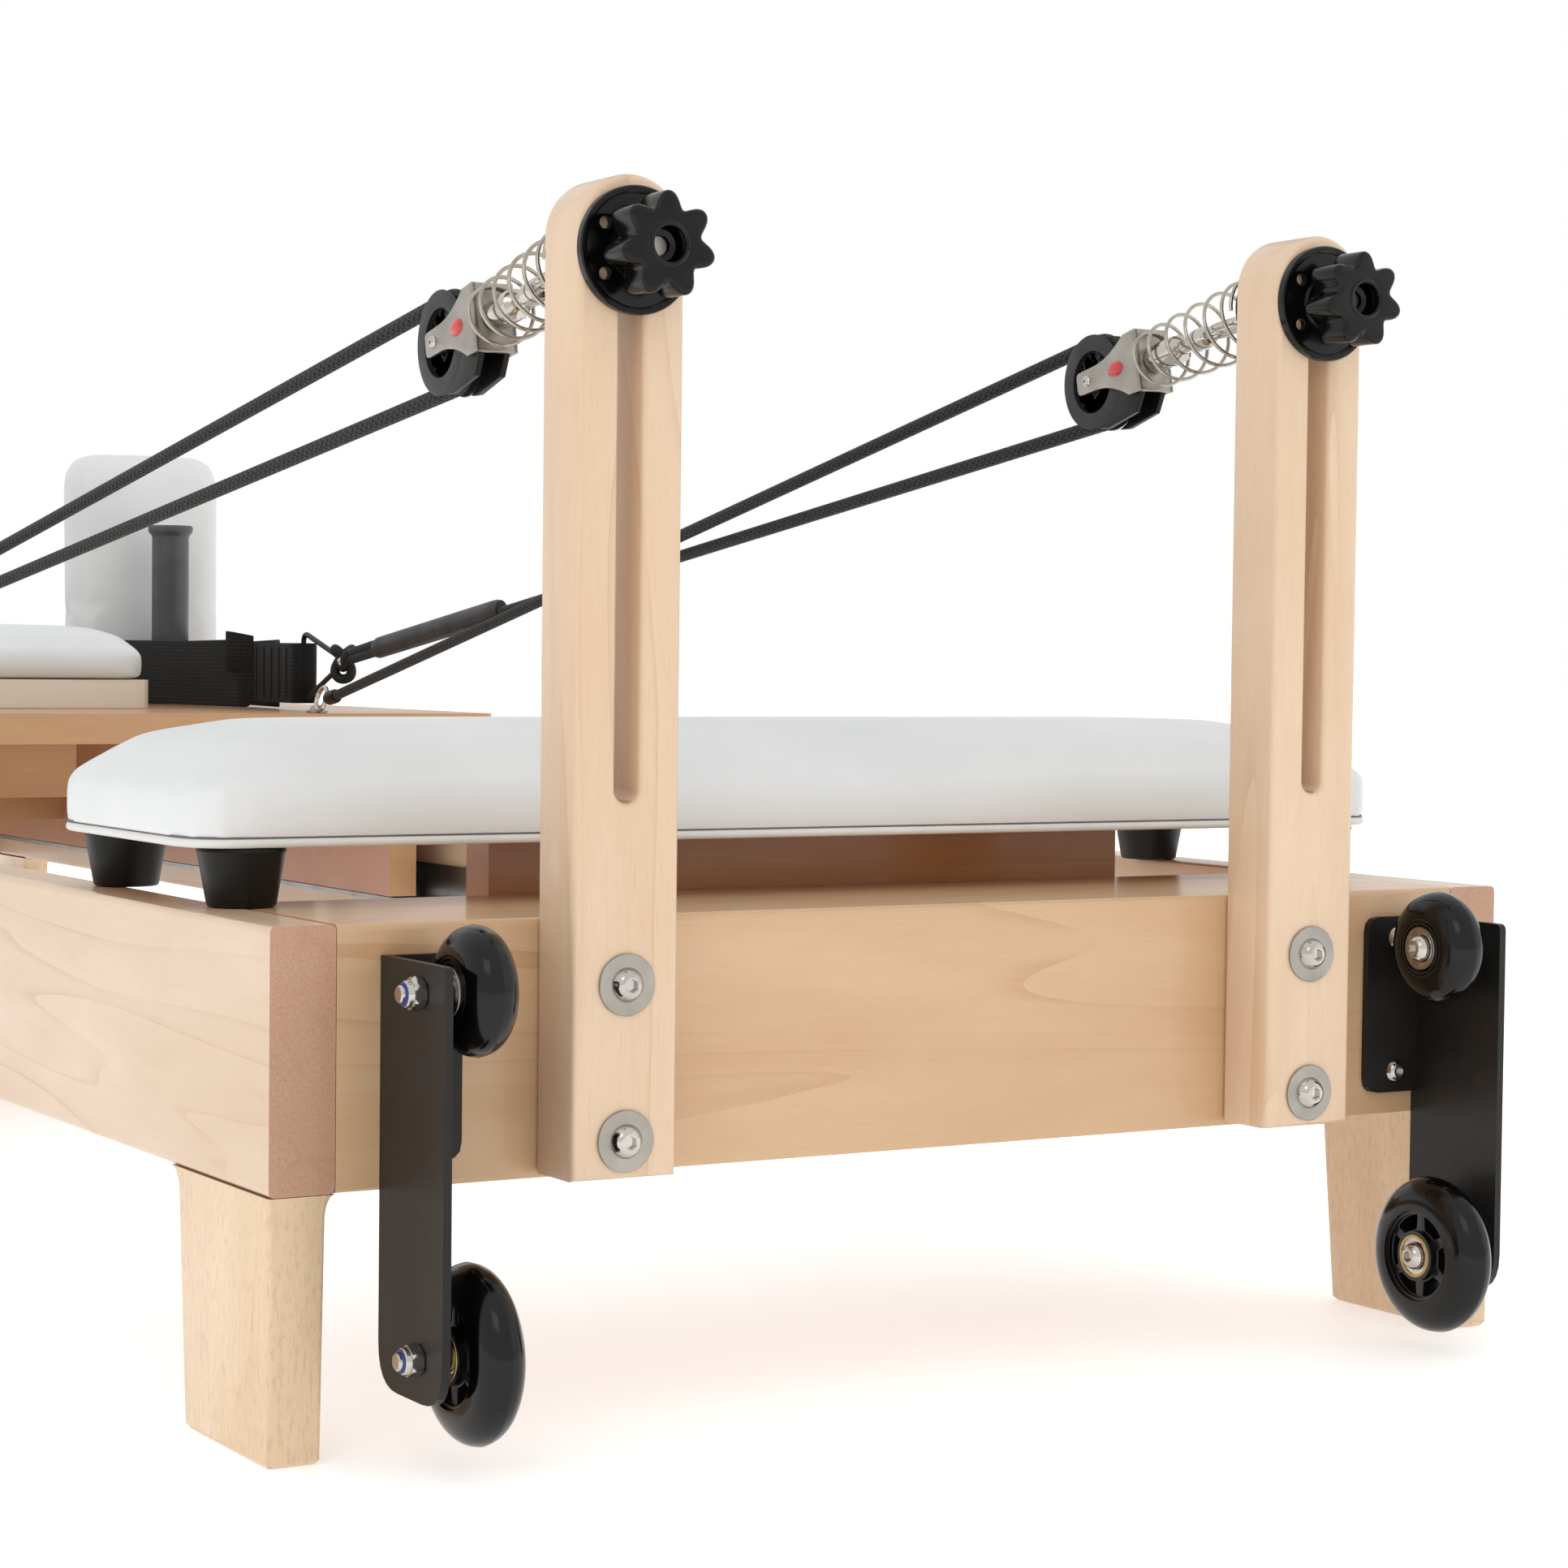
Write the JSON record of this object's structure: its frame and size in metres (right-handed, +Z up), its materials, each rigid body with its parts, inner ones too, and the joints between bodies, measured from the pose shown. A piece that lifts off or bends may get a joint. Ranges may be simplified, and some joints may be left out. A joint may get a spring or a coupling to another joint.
{
  "type": "pilates reformer",
  "caption": "Wooden pilates reformer with rope pulleys on riser posts, a rolling carriage, a lift-off standing platform, transport wheels and a folding footbar.",
  "frame": {"origin": "centre of the footprint, on the floor", "axes": "+X to the right seen from the head end, +Y from the riser posts towards the footbar, +Z up"},
  "size_m": [0.753, 2.523, 0.567],
  "materials": {
    "maple": "glossy clear lacquer",
    "track_aluminium": "satin",
    "black_steel": "semi-matte powder coat",
    "stainless": "satin",
    "urethane": "glossy",
    "black_plastic": "glossy",
    "rope": "braided",
    "vinyl": "satin vinyl",
    "post_anodised": "dark satin",
    "webbing": "woven",
    "roller_rubber": "satin",
    "grip_foam": "matte foam"
  },
  "bodies": {
    "frame": {"head_end_rail": "maple", "foot_end_rail": "maple", "spring_bar": "black_steel", "side_rail_left": "maple", "leg_head_left": "maple", "leg_foot_left": "maple", "track_left": "track_aluminium", "riser_post_left": "maple", "wheel_bracket_left": "black_steel", "wheel_axle_upper_left": "stainless", "wheel_axle_lower_left": "stainless", "rope_left": "rope", "side_rail_right": "maple", "leg_head_right": "maple", "leg_foot_right": "maple", "track_right": "track_aluminium", "riser_post_right": "maple", "wheel_bracket_right": "black_steel", "wheel_axle_upper_right": "stainless", "wheel_axle_lower_right": "stainless", "rope_right": "rope", "resistance_spring_left": "stainless", "resistance_spring_middle": "stainless", "resistance_spring_right": "stainless"},
    "carriage": {"carriage_board": "maple", "carriage_pad": "vinyl", "shoulder_rest_left": "vinyl", "rope_post_left": "post_anodised", "loop_strap_left": "webbing", "shoulder_rest_right": "vinyl", "rope_post_right": "post_anodised", "loop_strap_right": "webbing"},
    "headrest": {"headrest_base": "maple", "headrest_pad": "vinyl"},
    "footbar": {"footbar": "black_steel", "footbar_grip": "grip_foam"},
    "platform": {"platform_board": "maple", "platform_pad": "vinyl", "platform_foot_head_left": "black_plastic", "platform_foot_foot_left": "black_plastic", "platform_foot_head_right": "black_plastic", "platform_foot_foot_right": "black_plastic"},
    "roller_head_left": {"roller_head_left": "roller_rubber"},
    "roller_head_right": {"roller_head_right": "roller_rubber"},
    "roller_foot_left": {"roller_foot_left": "roller_rubber"},
    "roller_foot_right": {"roller_foot_right": "roller_rubber"},
    "pulley_carrier_left": {"pulley_mount_left": "black_plastic", "pulley_spring_left": "stainless", "pulley_block_left": "stainless"},
    "height_knob_left": {"height_knob_left": "black_plastic"},
    "pulley_sheave_left": {"pulley_sheave_left": "black_plastic"},
    "transport_wheel_upper_left": {"transport_wheel_upper_left": "urethane"},
    "transport_wheel_lower_left": {"transport_wheel_lower_left": "urethane"},
    "pulley_carrier_right": {"pulley_mount_right": "black_plastic", "pulley_spring_right": "stainless", "pulley_block_right": "stainless"},
    "height_knob_right": {"height_knob_right": "black_plastic"},
    "pulley_sheave_right": {"pulley_sheave_right": "black_plastic"},
    "transport_wheel_upper_right": {"transport_wheel_upper_right": "urethane"},
    "transport_wheel_lower_right": {"transport_wheel_lower_right": "urethane"}
  },
  "joints": [
    {"name": "carriage_slide", "type": "slide", "parent": "frame", "child": "carriage", "axis": [0, -1, 0], "range_m": [0, 0.88], "deforming": ["resistance_spring_left", "resistance_spring_middle", "resistance_spring_right", "rope_left", "rope_right"]},
    {"name": "roller_head_left_spin", "type": "hinge", "parent": "carriage", "child": "roller_head_left", "pos_m": [-0.303, 0.1115, 0.1633], "axis": [1, 0, 0], "continuous": true},
    {"name": "roller_head_right_spin", "type": "hinge", "parent": "carriage", "child": "roller_head_right", "pos_m": [0.303, 0.1115, 0.1633], "axis": [1, 0, 0], "continuous": true},
    {"name": "roller_foot_left_spin", "type": "hinge", "parent": "carriage", "child": "roller_foot_left", "pos_m": [-0.303, 1.0015, 0.1633], "axis": [1, 0, 0], "continuous": true},
    {"name": "roller_foot_right_spin", "type": "hinge", "parent": "carriage", "child": "roller_foot_right", "pos_m": [0.303, 1.0015, 0.1633], "axis": [1, 0, 0], "continuous": true},
    {"name": "pulley_height_left", "type": "slide", "parent": "frame", "child": "pulley_carrier_left", "axis": [0, 0, -1], "range_m": [0, 0.13], "deforming": ["rope_left"]},
    {"name": "knob_turn_left", "type": "hinge", "parent": "pulley_carrier_left", "child": "height_knob_left", "pos_m": [-0.195, -1.2385, 0.533], "axis": [0, -1, 0], "continuous": true},
    {"name": "sheave_spin_left", "type": "hinge", "parent": "pulley_carrier_left", "child": "pulley_sheave_left", "pos_m": [-0.195, -1.03036, 0.50493], "axis": [1, 0, 0], "continuous": true},
    {"name": "transport_wheel_upper_left_spin", "type": "hinge", "parent": "frame", "child": "transport_wheel_upper_left", "pos_m": [-0.273, -1.2215, 0.209], "axis": [1, 0, 0], "continuous": true},
    {"name": "transport_wheel_lower_left_spin", "type": "hinge", "parent": "frame", "child": "transport_wheel_lower_left", "pos_m": [-0.273, -1.2215, 0.051], "axis": [1, 0, 0], "continuous": true},
    {"name": "pulley_height_right", "type": "slide", "parent": "frame", "child": "pulley_carrier_right", "axis": [0, 0, -1], "range_m": [0, 0.13], "deforming": ["rope_right"]},
    {"name": "knob_turn_right", "type": "hinge", "parent": "pulley_carrier_right", "child": "height_knob_right", "pos_m": [0.195, -1.2385, 0.533], "axis": [0, -1, 0], "continuous": true},
    {"name": "sheave_spin_right", "type": "hinge", "parent": "pulley_carrier_right", "child": "pulley_sheave_right", "pos_m": [0.195, -1.03036, 0.50493], "axis": [1, 0, 0], "continuous": true},
    {"name": "transport_wheel_upper_right_spin", "type": "hinge", "parent": "frame", "child": "transport_wheel_upper_right", "pos_m": [0.273, -1.2215, 0.209], "axis": [1, 0, 0], "continuous": true},
    {"name": "transport_wheel_lower_right_spin", "type": "hinge", "parent": "frame", "child": "transport_wheel_lower_right", "pos_m": [0.273, -1.2215, 0.051], "axis": [1, 0, 0], "continuous": true},
    {"name": "footbar_fold", "type": "hinge", "parent": "frame", "child": "footbar", "pos_m": [0.333, 0.8715, 0.18], "axis": [1, 0, 0], "range_deg": [-14, 78]},
    {"name": "headrest_tilt", "type": "hinge", "parent": "carriage", "child": "headrest", "pos_m": [0, 0.4605, 0.3023], "axis": [-1, 0, 0], "range_deg": [0, 35]},
    {"name": "platform_lift", "type": "slide", "parent": "frame", "child": "platform", "axis": [0, 0, 1], "range_m": [0, 0.025]}
  ],
  "couplings": [
    {"joint": "roller_head_left_spin", "follows": "carriage_slide", "rad_per_m": 55.556},
    {"joint": "roller_head_right_spin", "follows": "carriage_slide", "rad_per_m": 55.556},
    {"joint": "roller_foot_left_spin", "follows": "carriage_slide", "rad_per_m": 55.556},
    {"joint": "roller_foot_right_spin", "follows": "carriage_slide", "rad_per_m": 55.556}
  ]
}
